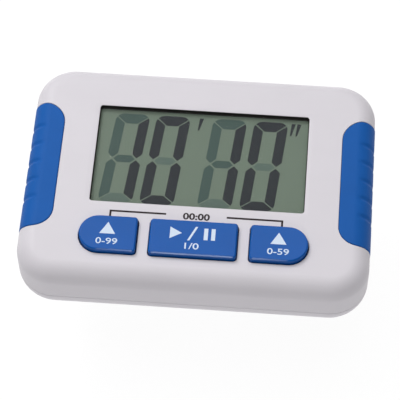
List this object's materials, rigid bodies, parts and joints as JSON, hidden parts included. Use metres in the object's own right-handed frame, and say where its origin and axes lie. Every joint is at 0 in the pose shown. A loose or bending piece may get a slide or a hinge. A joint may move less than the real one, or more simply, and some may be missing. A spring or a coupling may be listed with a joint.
{
  "type": "digital laboratory timer",
  "caption": "Pocket countdown timer with a liquid crystal display, push buttons, side grips, a fold-out stand, holding magnets and a battery hatch.",
  "frame": {"origin": "middle of the flat back face, which the timer lies on", "axes": "+X to the right of the display, +Y to the display's top edge, +Z out of the display"},
  "size_m": [0.0852, 0.061, 0.019],
  "materials": {
    "white_plastic": "satin moulded, fine texture",
    "blue_rubber": "soft matte",
    "blue_plastic": "satin",
    "clear_plastic": "clear, polished",
    "display_film": "satin grey-green film",
    "display_glass": "clear",
    "black_rubber": "matte",
    "circuit_board": "green solder mask",
    "silicone": "translucent grey",
    "carbon": "matte conductive",
    "epoxy": "black, slightly glossy",
    "steel": "plated",
    "brass": "bright",
    "ceramic": "silvered",
    "red_insulation": "smooth",
    "black_insulation": "smooth",
    "cell_sleeve": "printed sleeve",
    "foam": "open-cell foam"
  },
  "bodies": {
    "case": {"front_cover": "white_plastic", "back_cover": "white_plastic", "lcd_bracket": "white_plastic", "left_grip": "blue_rubber", "right_grip": "blue_rubber", "display_lens": "clear_plastic", "lcd_polarizer": "display_film", "lcd_reflector": "display_film", "lcd_front_glass": "display_glass", "lcd_rear_glass": "display_glass", "lcd_gasket": "black_rubber", "circuit_board": "circuit_board", "zebra_connector": "silicone", "keypad_mat": "silicone", "minute_dome": "silicone", "start_stop_dome": "silicone", "second_dome": "silicone", "controller_blob": "epoxy", "smoothing_capacitor": "epoxy", "buzzer_coil": "epoxy", "chip_resistor_1": "epoxy", "chip_resistor_2": "epoxy", "chip_resistor_3": "epoxy", "timing_crystal": "steel", "battery_negative_plate": "steel", "battery_positive_plate": "steel", "battery_spring": "steel", "case_screw_1": "steel", "case_screw_2": "steel", "case_screw_3": "steel", "case_screw_4": "steel", "board_screw_1": "steel", "board_screw_2": "steel", "board_screw_3": "steel", "board_screw_4": "steel", "bracket_screw_1": "steel", "bracket_screw_2": "steel", "left_magnet": "steel", "right_magnet": "steel", "buzzer_plate": "brass", "buzzer_ceramic": "ceramic", "battery_wire_red": "red_insulation", "buzzer_wire_red": "red_insulation", "battery_wire_black": "black_insulation", "buzzer_wire_black": "black_insulation", "battery_cell": "cell_sleeve"},
    "minute_key": {"minute_button": "blue_plastic", "minute_contact_pill": "carbon"},
    "start_stop_key": {"start_stop_button": "blue_plastic", "start_stop_contact_pill": "carbon"},
    "second_key": {"second_button": "blue_plastic", "second_contact_pill": "carbon"},
    "stand_leg": {"stand": "white_plastic"},
    "battery_hatch": {"battery_door": "white_plastic", "door_foam": "foam"}
  },
  "joints": [
    {"name": "minute_press", "type": "slide", "parent": "case", "child": "minute_key", "axis": [0, 0, -1], "range_m": [0, 0.0008], "stiffness_N_per_m": 1500, "deforming": ["minute_dome"]},
    {"name": "start_stop_press", "type": "slide", "parent": "case", "child": "start_stop_key", "axis": [0, 0, -1], "range_m": [0, 0.0008], "stiffness_N_per_m": 1500, "deforming": ["start_stop_dome"]},
    {"name": "second_press", "type": "slide", "parent": "case", "child": "second_key", "axis": [0, 0, -1], "range_m": [0, 0.0008], "stiffness_N_per_m": 1500, "deforming": ["second_dome"]},
    {"name": "stand_fold", "type": "hinge", "parent": "case", "child": "stand_leg", "pos_m": [0, -0.0022, 0.0015], "axis": [1, 0, 0], "range_deg": [0, 65]},
    {"name": "door_tilt", "type": "hinge", "parent": "case", "child": "battery_hatch", "pos_m": [0, 0.0184, 0.0001], "axis": [1, 0, 0], "range_deg": [0, 60]}
  ]
}
